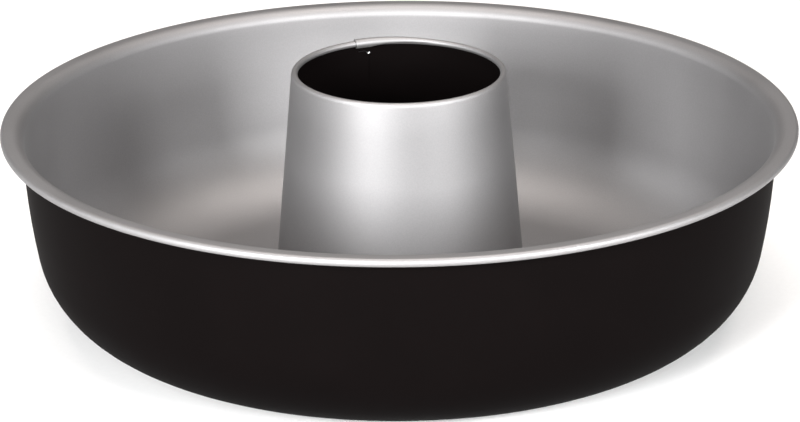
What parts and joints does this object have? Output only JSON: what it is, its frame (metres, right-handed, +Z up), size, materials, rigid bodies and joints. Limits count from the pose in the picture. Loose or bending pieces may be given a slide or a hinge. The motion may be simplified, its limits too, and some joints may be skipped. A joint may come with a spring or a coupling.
{
  "type": "ring cake pan",
  "caption": "Round sheet-steel ring cake pan with a flanged curled rim, rounded base corner and a tall open conical centre tube, black outside and silver inside.",
  "frame": {"origin": "centre of the flat base ring on the resting plane, on the axis of the pan and its tube", "axes": "+Z up along the tube's axis, -Y towards the picture's camera, +X to the right in the picture"},
  "size_m": [0.28, 0.28, 0.09],
  "materials": {
    "black_coat": "satin black lacquer on the outside of steel sheet",
    "silver_coat": "satin silver non-stick coat on the inside of steel sheet"
  },
  "bodies": {
    "root": {"pan_shell": "black_coat", "centre_tube": "silver_coat"}
  },
  "joints": []
}
